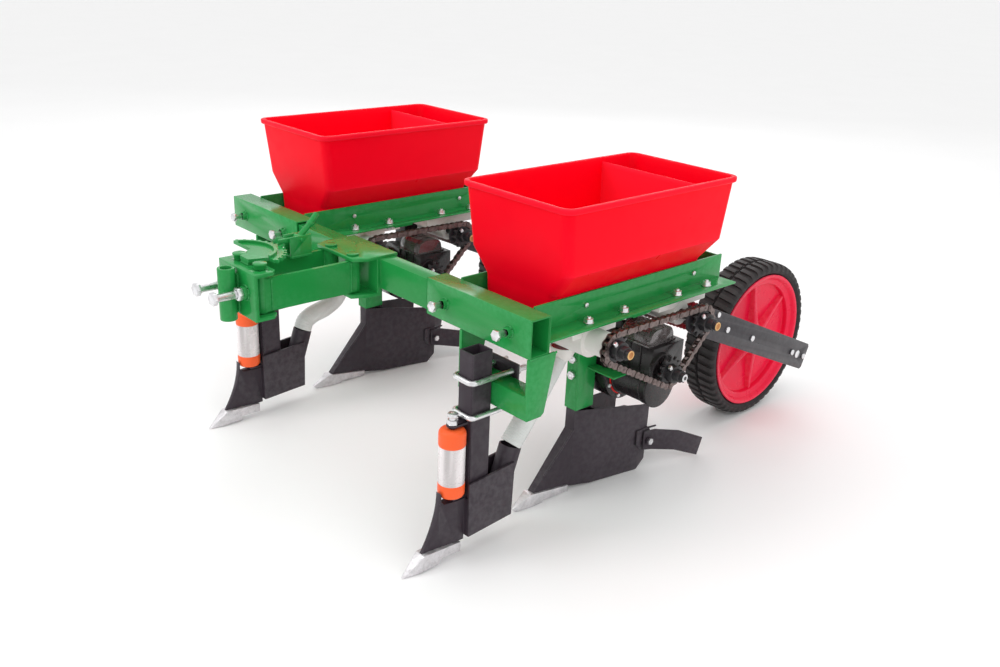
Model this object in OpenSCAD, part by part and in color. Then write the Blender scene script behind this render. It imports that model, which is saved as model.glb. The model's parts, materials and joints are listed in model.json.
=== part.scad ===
// Two-row corn planter for a small tractor: a telescopic toolbar with a steerable drawbar
// head, and two identical row units. Each row unit has a hopper on a rail frame, ground-driven
// feed shafts, a fertilizer opener in front, a seed opener behind it and a drive wheel at the
// rear. Modules draw in the machine's working frame: X across the rows, -Y forwards, Z up from
// the level of the opener tips. The file's origin is the middle of the hitch bore.

/* [Rows] */
// Distance between the two rows
row_spacing = 775; // [700:5:850]
// How far a row unit's sleeve reaches each side of its row
sleeve_half = 148; // [146:1:152]

/* [Toolbar] */
// Height of the outer sleeve tube
sleeve_h = 76; // [74:1:78]
// Depth of the outer sleeve tube, front to back
sleeve_d = 50; // [48:1:52]
// Wall of the sleeve and beam tubes
tube_wall = 4; // [3:0.5:5]

/* [Hitch] */
// Radius of the hitch pin bore
hitch_bore_r = 11; // [8:0.5:12]
// Distance between the front and rear pins of the drawbar links
link_len = 212; // [200:1:230]
// Half the distance between the two drawbar links
link_half = 40; // [38:1:42]

/* [Hopper] */
// Height of the hopper above the rails' lower flange
hopper_h = 240; // [200:2:260]
// Wall of the moulded hopper
hopper_wall = 4; // [3:0.5:5]

/* [Wheel] */
// Outer radius of the tyre
tyre_r = 200; // [190:1:204]
// Half the width of the tyre
tyre_half = 44; // [40:1:46]

/* [Feed drive] */
// Pitch of the roller chain
chain_pitch = 15.875; // [12.7, 15.875]
// Teeth on every sprocket
teeth = 12; // [11:1:12]

/* [Hidden] */
$fn = 48;
fit = 0.08;

row_x = row_spacing / 2;

// Toolbar section, in Y and Z
bar_y = -210;
bar_z = 490;
sleeve_front = bar_y - sleeve_d / 2;
sleeve_back = bar_y + sleeve_d / 2;
sleeve_top = bar_z + sleeve_h / 2;
sleeve_low = bar_z - sleeve_h / 2;
beam_d = sleeve_d - 2 * tube_wall - 2;
beam_h = sleeve_h - 2 * tube_wall - 4;
beam_half = row_x + 72;
clamp_x = 91;

// Drawbar: pins, plates and links
rear_pin_y = -272;
front_pin_y = rear_pin_y - link_len;
pin_r = 8;
bush_r = 15;
plate_low_z = 442;
plate_t = 8;
rear_gap_top = bar_z + beam_h / 2;
front_gap_top = 530;
head_front = front_pin_y - 30;
head_back = front_pin_y + 22;
hitch_y = head_front - 21;
hitch_z = 487;
hitch_tube_r = hitch_bore_r + 6;
hitch_tube_h = 106;
stay_x = 34;
stay_z = 495;
stay_r = 8;

// Steering sector and its pawl
sector_z = 544;
sector_t = 7;
sector_r = 92;
sector_root = 86;
sector_step = 10;
chord_y = front_pin_y + 30;
pawl_y = front_pin_y + 134;
pawl_z = 557;

// Row frame rails
rail_x = 100;
rail_t = 4;
rail_z = 474;
rail_top = 530;
rail_out = 148;
rail_back = 385;
flange_bolts_y = [-60, 42, 209, 309];
wall_bolts_y = [-48, 286];
cross_y = 44;
cross_l = 54;

// Hopper outline, front and back at each level
hop_rim_z = rail_z + hopper_h;
hop_knee_z = rail_z + hopper_h * 0.45;
hop_divide_y = 243;

// Shafts of the feed drive, as [y, z]
shaft_r = 10;
front_shaft = [-27, 430];
rear_shaft = [248, 424];
seed_shaft_at = [154, 333];
feed_plane = 168;
wheel_plane = -100;
shaft_end = 208;
pitch_r = chain_pitch / (2 * sin(180 / teeth));
tip_r = pitch_r + 3.8;
root_r = pitch_r - 5;
band = 7.2;
link_in = 4.9;
link_out = 6.5;
roller_r = 5;

// Wheel fork
wheel_at = [689, 231];
arm_out = 155;
arm_t = 5;
arm_half = 33;
arm_end = 524;
axle_r = 10;
fork_angle = atan2(rear_shaft[1] - wheel_at[1], wheel_at[0] - rear_shaft[0]);
fork_len = norm([wheel_at[0] - rear_shaft[0], wheel_at[1] - rear_shaft[1]]);
tie_at = [127, 242];
tie_r = 8;

// Fertilizer opener, clamped to the bracket under the sleeve
shank_x = 33;
shank_w = 40;
shank_back = -235.3;
shank_d = 50;
shank_top = 443;
roller_y = -313;
roller_out = 26.5;
roller_low = 155;
roller_high = 297;
tab_z = 301;
ubolt_r = 5.5;
ubolt_z = [318, 389];
box_z = [330, 378];
box_back = -190;
boot_r = 23;
boot_mouth = [-161, 212];
boot_foot = [-205, 80];
hose_r = 22.5;

// Seed opener and coverer
hanger_z = 216;
body_half = 51;
cover_pin = [245, 100];
cover_pin_r = 5;
cover_flare = 13.8;

// ---------- helpers ----------

// Moves the working frame so that the hitch bore's middle is the origin
module at_hitch() {
  translate([0, -hitch_y, -hitch_z]) children();
}

// Places a row unit: side is -1 for the left row and 1 for the right row
module at_row(side) {
  at_hitch() translate([side * row_x, 0, 0]) children();
}

// Cuboid between two corners
module block(low, high) {
  translate(low) cube(high - low);
}

// Extrudes an outline drawn in [y, z] from x0 to x1
module along_x(x0, x1) {
  translate([x0, 0, 0]) rotate([90, 0, 90]) linear_extrude(x1 - x0) children();
}

// Round bar along X through [y, z]
module rod_x(x0, x1, at, r) {
  translate([x0, at[0], at[1]]) rotate([0, 90, 0]) cylinder(h = x1 - x0, r = r);
}

// Round bar along Y through [x, z]
module rod_y(y0, y1, at, r) {
  translate([at[0], y0, at[1]]) rotate([-90, 0, 0]) cylinder(h = y1 - y0, r = r);
}

// Upright round bar through [x, y]
module post(z0, z1, at, r) {
  translate([at[0], at[1], z0]) cylinder(h = z1 - z0, r = r);
}

// Hexagon of a given width across flats
module hex(h, flats) {
  cylinder(h = h, r = flats / 2 / cos(30), $fn = 6);
}

// Copies a shape at x and -x
module both_sides() {
  children();
  mirror([1, 0, 0]) children();
}

// Moves [s, t] along and across the wheel fork into [y, z]
module on_fork() {
  translate([0, rear_shaft[0], rear_shaft[1]]) rotate([-fork_angle, 0, 0]) children();
}

// Sprocket disc centred on the plane x
module sprocket(x, at) {
  half = 3.4;
  translate([0, at[0], at[1]]) along_x(x - half, x + half) {
    circle(r = root_r + 1);
    for (k = [0 : teeth - 1])
      rotate(k * 360 / teeth)
        polygon([[root_r - 2, -5], [tip_r, -1.8], [tip_r, 1.8], [root_r - 2, 5]]);
  }
}

// Rollers of one straight chain run between two sprockets, on the run's outer side
module run_rollers(a, b, x) {
  gap = 30;
  run = norm(b - a);
  dir = (b - a) / run;
  side = [-dir[1], dir[0]] * pitch_r;
  for (s = [gap : 2 * chain_pitch : run - gap])
    rod_x(x - link_in - 0.1, x + link_in + 0.1, a + dir * s + side, roller_r);
}

// Closed chain loop round sprockets at the given points, listed clockwise seen from +X
module chain_loop(points, x) {
  last = len(points) - 1;
  for (s = [-1, 1])
    along_x(x + min(s * link_in, s * link_out), x + max(s * link_in, s * link_out))
      difference() {
        hull() for (p = points) translate(p) circle(r = pitch_r + band);
        hull() for (p = points) translate(p) circle(r = pitch_r - band);
      }
  for (k = [0 : last])
    run_rollers(points[k], points[k == last ? 0 : k + 1], x);
}

// Hub, collar and tube end of a driven feed shaft
module shaft_hub(at) {
  rod_x(157, 187, at, 19);
  rod_x(187, 200, at, 13);
  rod_x(200, shaft_end, at, 9);
  translate([180, at[0], at[1]]) rotate([40, 0, 0]) translate([0, 0, 17]) hex(9, 8);
}

// ---------- toolbar and drawbar ----------

module toolbar() color([0.12, 0.54, 0.27]) at_hitch() {
  difference() {
    block([-beam_half, bar_y - beam_d / 2, bar_z - beam_h / 2],
          [beam_half, bar_y + beam_d / 2, bar_z + beam_h / 2]);
    block([-beam_half - 1, bar_y - beam_d / 2 + tube_wall, bar_z - beam_h / 2 + tube_wall],
          [beam_half + 1, bar_y + beam_d / 2 - tube_wall, bar_z + beam_h / 2 - tube_wall]);
  }
  block([-80, -238, plate_low_z], [80, bar_y - beam_d / 2, rear_gap_top]);
  difference() {
    union() {
      linear_extrude_at(rear_gap_top, plate_t - 1)
        polygon([[-66, -290], [66, -290], [80, -262], [80, sleeve_back - 1],
                 [-80, sleeve_back - 1], [-80, -262]]);
      linear_extrude_at(plate_low_z, plate_t)
        polygon([[-62, -292], [62, -292], [80, -250], [80, bar_y - beam_d / 2],
                 [-80, bar_y - beam_d / 2], [-80, -250]]);
    }
    for (x = [-link_half, link_half])
      post(plate_low_z - 1, rear_gap_top + plate_t, [x, rear_pin_y], pin_r);
  }
}

// Flat plate from z upwards
module linear_extrude_at(z, t) {
  translate([0, 0, z]) linear_extrude(t) children();
}

module rear_pins() color([0.10, 0.50, 0.25]) at_hitch()
  for (x = [-link_half, link_half]) {
    post(plate_low_z - 5, rear_gap_top + plate_t - 1, [x, rear_pin_y], pin_r);
    post(rear_gap_top + plate_t - 1, rear_gap_top + plate_t + 3, [x, rear_pin_y], 13);
  }

// Drawbar link: two upright bushes joined by a flat bar on the outer side
module link(side) {
  difference() {
    union() {
      post(plate_low_z + plate_t + 0.4, front_gap_top - 0.4,
           [side * link_half, front_pin_y], bush_r);
      post(plate_low_z + plate_t + 0.4, rear_gap_top - 0.4,
           [side * link_half, rear_pin_y], bush_r);
      translate([side * (link_half + 10), (front_pin_y + rear_pin_y) / 2, 487])
        cube([10, link_len, 68], center = true);
    }
    for (y = [front_pin_y, rear_pin_y])
      post(plate_low_z, front_gap_top + 1, [side * link_half, y], pin_r + fit);
  }
}

module link_near() color([0.12, 0.54, 0.27]) at_hitch() link(1);
module link_far() color([0.12, 0.54, 0.27]) at_hitch() link(-1);

module pawl_box() color([0.10, 0.50, 0.25]) at_hitch() {
  x = -link_half;
  block([x - 18, pawl_y - 26, 521.2], [x + 14, pawl_y + 24, 526]);
  for (s = [x - 16, x + 8])
    difference() {
      block([s, pawl_y - 26, 526], [s + 4, pawl_y + 24, 566]);
      rod_x(s - 1, s + 5, [pawl_y, pawl_z], 4);
    }
  rod_x(x - 20, x + 16, [pawl_y, pawl_z], 4);
}

module pawl_lever() color([0.14, 0.58, 0.30]) at_hitch() {
  x = -link_half - 2;
  difference() {
    union() {
      rod_x(x - 9, x + 9, [pawl_y, pawl_z], 9);
      block([x - 2, pawl_y - 46, pawl_z - 4], [x + 5, pawl_y, pawl_z + 5]);
      block([x - 0.5, pawl_y - 47.5, pawl_z - 5.2], [x + 4.5, pawl_y - 42, pawl_z + 5]);
      translate([x, pawl_y, pawl_z]) rotate([-48, 0, 0]) post(0, 40, [0, 0], 6);
      translate([x, pawl_y + 29.7, pawl_z + 26.8]) {
        sphere(r = 7.5);
        rotate([-42, 0, 0]) post(0, 26, [0, 0], 6);
      }
    }
    rod_x(x - 10, x + 10, [pawl_y, pawl_z], 4 + fit);
  }
}

module drawbar_head() color([0.12, 0.54, 0.27]) at_hitch() {
  difference() {
    union() {
      block([-70, head_front, plate_low_z], [70, head_front + plate_t, front_gap_top + plate_t]);
      for (z = [plate_low_z, front_gap_top])
        linear_extrude_at(z, plate_t)
          polygon([[-70, head_front], [70, head_front], [70, head_back - 12],
                   [58, head_back], [-58, head_back], [-70, head_back - 12]]);
      block([-8, hitch_y + 12, 448], [8, head_front + 1, 526]);
      post(hitch_z - hitch_tube_h / 2, hitch_z + hitch_tube_h / 2, [0, hitch_y], hitch_tube_r);
      for (x = [-stay_x, stay_x])
        translate([x, head_front, stay_z]) rotate([90, 0, 0]) hex(9.5, 24);
    }
    post(hitch_z - hitch_tube_h, hitch_z + hitch_tube_h, [0, hitch_y], hitch_bore_r);
    for (x = [-link_half, link_half])
      post(plate_low_z - 1, front_gap_top + plate_t + 1, [x, front_pin_y], pin_r);
    for (x = [-stay_x, stay_x])
      rod_y(head_front - 12, head_front + plate_t + 1, [x, stay_z], stay_r + fit);
  }
}

module steering_sector() color([0.16, 0.60, 0.32]) at_hitch() {
  c = [-link_half, front_pin_y];
  difference() {
    union() {
      linear_extrude_at(sector_z, sector_t) intersection() {
        union() {
          translate(c) circle(r = sector_root);
          for (k = [-8 : 8])
            translate(c) rotate(90 + (k + 0.5) * sector_step)
              polygon([[80, -4.2], [sector_r, -2.6], [sector_r, 2.6], [80, 4.2]]);
        }
        translate([c[0] - 100, chord_y]) square([200, 100]);
      }
      translate([c[0], c[1], sector_z + sector_t]) intersection() {
        linear_extrude(5) difference() {
          circle(r = 73);
          circle(r = 67);
        }
        translate([-100, chord_y - c[1], -1]) cube([200, 100, 8]);
      }
      linear_extrude_at(sector_z, sector_t)
        polygon([[-52, chord_y + 1], [22, chord_y + 1], [10, front_pin_y - 8],
                 [-22, front_pin_y - 8]]);
      block([-20, front_pin_y - 8, front_gap_top + plate_t], [8, head_back - 2, sector_z]);
    }
    post(sector_z - 1, sector_z + sector_t + 6, c, 14.4);
  }
}

module front_pins() color([0.10, 0.50, 0.25]) at_hitch()
  for (x = [-link_half, link_half]) {
    post(plate_low_z - 6, front_gap_top + plate_t, [x, front_pin_y], pin_r);
    post(front_gap_top + plate_t, front_gap_top + plate_t + 9, [x, front_pin_y], 11);
    post(front_gap_top + plate_t + 9, front_gap_top + plate_t + 13, [x, front_pin_y], 14);
  }

// Long bolt that steadies the tractor's drawbar against one side of the hitch tube
module stay_bolt(x) color([0.75, 0.76, 0.78]) at_hitch() {
  rod_y(head_front - 62, head_front + plate_t + 2, [x, stay_z], stay_r);
  translate([x, head_front - 62, stay_z]) rotate([90, 0, 0]) hex(10, 24);
}

module stay_bolt_near() stay_bolt(stay_x);
module stay_bolt_far() stay_bolt(-stay_x);

module stay_lock_nuts() color([0.75, 0.76, 0.78]) at_hitch()
  for (x = [-stay_x, stay_x])
    difference() {
      translate([x, head_front - 9.5, stay_z]) rotate([90, 0, 0]) hex(11, 24);
      rod_y(head_front - 25, head_front, [x, stay_z], stay_r + fit);
    }

// ---------- row unit: frame ----------

module sleeve() color([0.12, 0.54, 0.27]) {
  difference() {
    union() {
      block([-sleeve_half, sleeve_front, sleeve_low], [sleeve_half, sleeve_back, sleeve_top]);
      for (x = [-clamp_x, clamp_x])
        translate([x, sleeve_front, bar_z]) rotate([90, 0, 0]) hex(10, 19);
    }
    block([-sleeve_half - 1, sleeve_front + tube_wall, sleeve_low + tube_wall],
          [sleeve_half + 1, sleeve_back - tube_wall, sleeve_top - tube_wall]);
    for (x = [-clamp_x, clamp_x])
      rod_y(sleeve_front - 11, sleeve_front + tube_wall + 1, [x, bar_z], 6);
  }
}

module rails() color([0.12, 0.52, 0.26]) {
  difference() {
    union() {
      both_sides() {
        block([rail_x, sleeve_back, rail_z], [rail_x + rail_t, rail_back, rail_top]);
        block([rail_x, sleeve_back, rail_z], [rail_out, rail_back, rail_z + rail_t]);
      }
      block([-rail_x - 1, rail_back - rail_t, rail_z], [rail_x + 1, rail_back, rail_top - 4]);
      block([-rail_x - 1, rail_back - 40, rail_z], [rail_x + 1, rail_back, rail_z + rail_t]);
      block([-rail_x - 1, sleeve_back, rail_z], [rail_x + 1, sleeve_back + 38, rail_z + rail_t]);
      block([-rail_out, cross_y, rail_z - rail_t], [rail_out, cross_y + cross_l, rail_z]);
      hanger();
    }
    for (y = flange_bolts_y)
      both_sides() post(rail_z - 5, rail_z + 5, [125, y], 4);
    for (y = wall_bolts_y)
      both_sides() rod_x(rail_x - 1, rail_x + rail_t + 1, [y, 505], 3);
  }
}

// Square tube that carries the seed opener, with a shelf for the seed meter
module hanger() {
  difference() {
    union() {
      block([-17, cross_y, hanger_z], [17, cross_y + cross_l, rail_z - rail_t]);
      block([16, cross_y + 26, 310], [92, cross_y + cross_l, 314]);
      block([46, cross_y + cross_l - 1, 310], [92, 120, 314]);
    }
    block([-13, cross_y + 4, hanger_z - 1], [13, cross_y + cross_l - 4, 400]);
    for (z = [296, 333])
      rod_y(cross_y - 1, cross_y + 5, [0, z], 5);
  }
}

module fasteners() color([0.78, 0.79, 0.80]) {
  for (x = [-clamp_x, clamp_x]) {
    rod_y(sleeve_front - 27, bar_y - beam_d / 2 - 0.5, [x, bar_z], 6);
    translate([x, sleeve_front - 27, bar_z]) rotate([90, 0, 0]) hex(8, 19);
  }
  for (y = flange_bolts_y)
    both_sides() {
      nut_top = y > cross_y - 10 && y < cross_y + cross_l ? rail_z - rail_t : rail_z;
      post(nut_top - 8, rail_z + rail_t, [125, y], 4);
      post(rail_z + rail_t, rail_z + rail_t + 1.8, [125, y], 10.5);
      translate([125, y, rail_z + rail_t + 1.8]) hex(7.5, 17);
      post(rail_z + rail_t + 9, rail_z + rail_t + 13, [125, y], 4);
      translate([125, y, nut_top - 7]) hex(7, 13);
    }
  for (y = wall_bolts_y)
    both_sides() {
      rod_x(rail_x - 1.5, rail_x + rail_t, [y, 505], 3);
      rod_x(rail_x + rail_t, rail_x + rail_t + 4, [y, 505], 5);
    }
  for (z = [296, 333]) {
    rod_y(cross_y - 8, cross_y + 4, [0, z], 5);
    translate([0, cross_y, z]) rotate([90, 0, 0]) hex(7, 17);
  }
  for (z = ubolt_z)
    u_bolt(z);
  difference() {
    block([shank_x - 40, box_back, 300], [shank_x + 40, box_back + 5, 406]);
    for (z = ubolt_z)
      for (s = [-1, 1])
        rod_y(box_back - 1, box_back + 6, [shank_x + s * (shank_w / 2 + 6), z], ubolt_r);
  }
}

// U-bolt round the shank, with a nut on each leg
module u_bolt(z) {
  half = shank_w / 2 + 6;
  front = shank_back - shank_d - 6;
  bend = 9;
  translate([shank_x, 0, z]) {
    rotate([0, 90, 0]) translate([0, front, -half + bend])
      cylinder(h = 2 * (half - bend), r = ubolt_r);
    for (s = [-1, 1]) {
      rod_y(front + bend, -156, [s * half, 0], ubolt_r);
      translate([s * (half - bend), front + bend, 0])
        rotate([0, 0, s > 0 ? -90 : 180])
          rotate_extrude(angle = 90) translate([bend, 0]) circle(r = ubolt_r);
      translate([s * half, box_back + 15, 0]) rotate([90, 0, 0]) difference() {
        hex(10, 17);
        translate([0, 0, -1]) cylinder(h = 12, r = ubolt_r);
      }
    }
  }
}

// ---------- row unit: hopper and feed ----------

// Rounded rectangle slab of the hopper at height z
module hopper_slab(half, front, back, z, t, inset) {
  r = 26 - inset;
  for (x = [-1, 1])
    for (y = [front + 26, back - 26])
      translate([x * (half - 26), y, z]) cylinder(h = t, r = r, $fn = 32);
}

module hopper_form(inset, floor_t) {
  hull() {
    hopper_slab(142, -153, 349, hop_rim_z - 1, inset > 0 ? 3 : 1, inset);
    hopper_slab(136, -138, 334, hop_knee_z, 0.1, inset);
  }
  hull() {
    hopper_slab(136, -138, 334, hop_knee_z, 0.1, inset);
    hopper_slab(98, -132, 318, rail_top + 2, 0.1, inset);
  }
  hull() {
    hopper_slab(98, -132, 318, rail_top + 2, 0.1, inset);
    hopper_slab(96, -130, 316, rail_z + floor_t, 0.1, inset);
  }
}

module hopper() color([0.86, 0.05, 0.10]) {
  difference() {
    union() {
      hopper_form(0, 0);
      hull() hopper_slab(148, -159, 355, hop_rim_z - 11, 11, 0);
    }
    hopper_form(hopper_wall, hopper_wall);
    for (y = [front_shaft[0], 267])
      block([-20, y - 14, rail_z - 1], [20, y + 14, rail_z + 6]);
  }
  intersection() {
    hopper_form(2, 2);
    block([-150, hop_divide_y - 2, rail_z], [150, hop_divide_y + 2, hop_rim_z - 8]);
  }
}

module feed_boxes() color([0.90, 0.89, 0.86]) {
  fertilizer_box();
  seed_box();
}

module fertilizer_box() {
  difference() {
    union() {
      block([-80, -85, 440], [110, 40, rail_z]);
      block([24, 39, 452], [110, 88, rail_z - rail_t]);
      rod_x(-60, 112, front_shaft, 36);
      rod_x(111, 156.5, front_shaft, 26);
    }
    rod_x(-30, 50, front_shaft, 25);
    block([-20, front_shaft[0] - 14, front_shaft[1]], [20, front_shaft[0] + 14, rail_z + 1]);
    block([20, front_shaft[0] - 12, 390], [46, front_shaft[0] + 12, front_shaft[1]]);
    rod_x(-61, 158, front_shaft, shaft_r + fit);
  }
}

module seed_box() {
  difference() {
    union() {
      block([-80, 175, 440], [110, 332, rail_z]);
      rod_x(-60, 112, rear_shaft, 26);
    }
    along_x(-20, 20)
      polygon([[180, 439], [205, 439], [281, 462], [281, rail_z + 1], [253, rail_z + 1],
               [180, 458]]);
    rod_x(-61, 113, rear_shaft, shaft_r + fit);
  }
}

module seed_meter() color([0.05, 0.05, 0.06]) {
  difference() {
    union() {
      rod_x(-24, 44, [164, 287], 62);
      rod_x(-24, 24, seed_shaft_at, 44);
      rod_x(44, 138, [164, 287], 45);
      rod_x(43, 48, [164, 287], 47.5);
      rod_x(134, 141, [164, 287], 48);
      block([24, 132, 314], [140, 232, 378]);
      rod_x(139, 150, seed_shaft_at, 34);
      block([-22, 170, 345], [22, 212, 440]);
    }
    rod_x(-17, 17, seed_shaft_at, 36);
    block([-14, 150, 226], [14, 178, 330]);
    block([-14, 176, 340], [14, 206, 441]);
    rod_x(-25, 151, seed_shaft_at, shaft_r + fit);
  }
}

module meter_window() color([0.35, 0.33, 0.33, 0.6]) {
  difference() {
    union() {
      block([46, 134, 378], [126, 214, 396]);
      intersection() {
        rod_x(46, 126, [174, 370], 43);
        block([46, 134, 395], [126, 214, 414]);
      }
    }
    block([50, 138, 377], [122, 210, 394]);
  }
}

module feed_chain() color([0.25, 0.21, 0.19])
  chain_loop([front_shaft, rear_shaft, seed_shaft_at], feed_plane);

// Shaft turned by the wheel chain: it drives the two feed shafts and carries the fork
module drive_shaft() color([0.10, 0.10, 0.11]) {
  rod_x(-160, shaft_end - 1, rear_shaft, shaft_r);
  rod_x(-118, -86, rear_shaft, 17);
  sprocket(wheel_plane, rear_shaft);
  sprocket(feed_plane, rear_shaft);
  shaft_hub(rear_shaft);
}

// Fluted roller that meters the fertilizer
module fertilizer_shaft() color([0.10, 0.10, 0.11]) {
  rod_x(-58, shaft_end - 1, front_shaft, shaft_r);
  difference() {
    rod_x(-26, 46, front_shaft, 22);
    for (k = [0 : 45 : 315])
      translate([0, front_shaft[0], front_shaft[1]]) rotate([k, 0, 0])
        rod_x(-27, 47, [0, 23], 5);
  }
  sprocket(feed_plane, front_shaft);
  shaft_hub(front_shaft);
}

// Seed plate with its ring of cells
module seed_shaft() color([0.10, 0.10, 0.11]) {
  rod_x(-22, shaft_end - 1, seed_shaft_at, shaft_r);
  difference() {
    rod_x(-12, 12, seed_shaft_at, 34);
    for (k = [0 : 36 : 324])
      translate([0, seed_shaft_at[0], seed_shaft_at[1]]) rotate([k, 0, 0])
        rod_x(-13, 13, [0, 34], 5);
  }
  sprocket(feed_plane, seed_shaft_at);
  shaft_hub(seed_shaft_at);
}

// ---------- row unit: fertilizer opener ----------

module shank_bracket() color([0.12, 0.52, 0.26]) {
  for (x = [-46, 140])
    along_x(x, x + 8)
      polygon([[sleeve_front, sleeve_low], [-166, sleeve_low], [-190, 336],
               [-198, box_z[0]], [sleeve_front, box_z[0]]]);
  difference() {
    block([-38, sleeve_front, box_z[0]], [140, box_back, box_z[1]]);
    block([-39, sleeve_front + 4, box_z[0] + 4], [141, box_back - 4, box_z[1] - 4]);
  }
}

module fertilizer_opener() color([0.10, 0.09, 0.10]) {
  translate([shank_x, 0, 0]) {
    shank_tube();
    boot_plates();
    boot_tube();
    difference() {
      union() {
        block([-12, roller_y, tab_z], [12, shank_back - shank_d, tab_z + 5]);
        post(tab_z, tab_z + 5, [0, roller_y], 12);
        block([-12, roller_y - 4, 145], [12, -286, 150.5]);
        block([-12, -290, 140], [12, -284, 150.5]);
      }
      post(130, 320, [0, roller_y], 6);
    }
  }
  translate([shank_x, roller_y, 0]) {
    post(143, tab_z + 6, [0, 0], 6);
    translate([0, 0, tab_z + 5]) hex(9, 19);
    translate([0, 0, tab_z + 14]) cylinder(h = 6, r = 6);
    translate([0, 0, tab_z + 20]) hex(7, 19);
  }
}

module shank_tube() {
  difference() {
    translate([0, shank_back - shank_d / 2, 80]) linear_extrude(shank_top - 80)
      offset(r = 4) square([shank_w - 8, shank_d - 8], center = true);
    block([-shank_w / 2 + 4, shank_back - shank_d + 4, 200],
          [shank_w / 2 - 4, shank_back - 4, shank_top + 1]);
  }
}

// Side plates of the boot and the curved cutting wedge in front of them
module boot_plates() {
  for (x = [-28, 22])
    along_x(x, x + 6)
      polygon([[-290, 62], [-290, 178], [-172, 188], [-176, 70]]);
  block([-25, -290, 62], [25, -284, 145]);
  intersection() {
    along_x(-14, 14)
      polygon(concat(
        [for (t = [0 : 0.1 : 1]) [-344 - 42 * t * t, 170 - 119 * t]],
        [[-289, 51], [-289, 144], [-336, 144], [-342, 151], [-342, 166]]));
    linear_extrude(200)
      polygon([[-3, -390], [3, -390], [7, -345], [13, -310], [13, -280], [-13, -280],
               [-13, -310], [-7, -345]]);
  }
}

module boot_tube() {
  run = boot_mouth - boot_foot;
  tilt = atan2(run[0], run[1]);
  translate([0, boot_foot[0], boot_foot[1]]) rotate([-tilt, 0, 0]) difference() {
    cylinder(h = norm(run), r = boot_r);
    translate([0, 0, -1]) cylinder(h = norm(run) + 2, r = boot_r - 3);
  }
}

// Cast point with a stepped underside, narrowing to the tip
module share(outline, y_tip, y_shoulder, y_heel, half) {
  intersection() {
    along_x(-half - 1, half + 1) polygon(outline);
    linear_extrude(120)
      polygon([[-3, y_tip], [3, y_tip], [half * 0.7, y_shoulder], [half, y_heel],
               [-half, y_heel], [-half * 0.7, y_shoulder]]);
  }
}

module fertilizer_share() color([0.72, 0.71, 0.71])
  translate([shank_x, 0, 0])
    share([[-430, 14], [-386, 51], [-300, 51], [-300, 30], [-346, 29], [-348, 20],
           [-420, 14]], -430, -392, -300, 18);

module roller() color([1.0, 0.35, 0.12])
  translate([shank_x, roller_y, 0])
    difference() {
      union() {
        post(roller_low, 183, [0, 0], roller_out);
        post(183, 263, [0, 0], roller_out - 0.6);
        post(263, roller_high, [0, 0], roller_out);
      }
      post(roller_low - 1, roller_high + 1, [0, 0], 6 + fit);
    }

// Funnel under the fertilizer box and the ribbed hose, cut square to the boot's mouth
module hose() color([0.75, 0.77, 0.75]) {
  top = [-32, 372];
  run = boot_mouth - top;
  boot = boot_mouth - boot_foot;
  translate([shank_x, 0, 0]) {
    translate([0, -28, 366]) cylinder(h = 27, r1 = 20, r2 = 27);
    difference() {
      translate([0, top[0], top[1]]) rotate([-atan2(run[0], run[1]), 0, 0])
        cylinder(h = norm(run) + 14, r1 = 17, r2 = hose_r);
      translate([0, boot_mouth[0], boot_mouth[1]]) rotate([-atan2(boot[0], boot[1]), 0, 0])
        translate([-45, -45, -70]) cube([90, 90, 70.8]);
    }
  }
}

// ---------- row unit: seed opener and coverer ----------

module seed_opener() color([0.12, 0.11, 0.12]) {
  difference() {
    union() {
      intersection() {
        along_x(-60, 60)
          polygon([[46, 215], [46, 168], [-62, 50], [38, 37], [40, 31], [97, 27],
                   [228, 25], [253, 46], [255, 186], [100, 210]]);
        opener_plan(0);
      }
      block([-12.6, cross_y + 4.4, 196], [12.6, cross_y + cross_l - 4.4, 345]);
      both_sides() cover_bracket();
    }
    intersection() {
      along_x(-60, 60)
        polygon([[98, 300], [98, 194], [50, 194], [50, 160], [-40, 58], [-40, 0],
                 [300, 0], [300, 300]]);
      opener_plan(3.5);
    }
    rod_x(-70, 70, cover_pin, cover_pin_r + fit);
    for (z = [296, 333])
      rod_y(cross_y, cross_y + 24, [0, z], 5);
  }
}

// Plan view of the opener body, which flares towards the back
module opener_plan(inset) {
  back = inset > 0 ? 260 : 256;
  linear_extrude(320)
    polygon([[-9 + inset, -66], [9 - inset, -66], [13 - inset, 46], [28 - inset, 97],
             [body_half - inset, 228], [body_half - inset, back],
             [inset - body_half, back], [inset - body_half, 228], [inset - 28, 97],
             [inset - 13, 46]]);
}

module cover_bracket() {
  along_x(body_half, body_half + 4)
    polygon([[216, 128], [256, 128], [262, 118], [262, 88], [232, 78], [216, 92]]);
}

module seed_share() color([0.72, 0.71, 0.71])
  share([[-116, 26], [-72, 51], [38, 37], [38, 23], [-35, 25], [-37, 20], [-106, 19]],
        -116, -72, 38, 17);

// Two sprung wings on one hinge rod, which close the furrow
module coverer() color([0.13, 0.12, 0.13]) {
  rod_x(-66, 66, cover_pin, cover_pin_r);
  both_sides() {
    rod_x(64, 70, cover_pin, 9);
    translate([62, cover_pin[0], 0]) rotate([0, 0, -cover_flare])
      along_x(-2, 2)
        polygon([[-12, 124], [20, 124], [90, 106], [164, 72], [152, 28], [80, 58],
                 [14, 74], [-12, 78]]);
  }
}

// ---------- row unit: wheel ----------

module fork() color([0.16, 0.16, 0.18]) on_fork() {
  difference() {
    union() {
      both_sides() fork_arm();
      for (s = tie_at)
        rod_x(-arm_out + arm_t, arm_out - arm_t, [s, 0], tie_r);
    }
    rod_x(-arm_out - 1, arm_out + 1, [0, 0], shaft_r + fit);
    rod_x(-arm_out - 1, arm_out + 1, [fork_len, 0], axle_r);
  }
}

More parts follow.
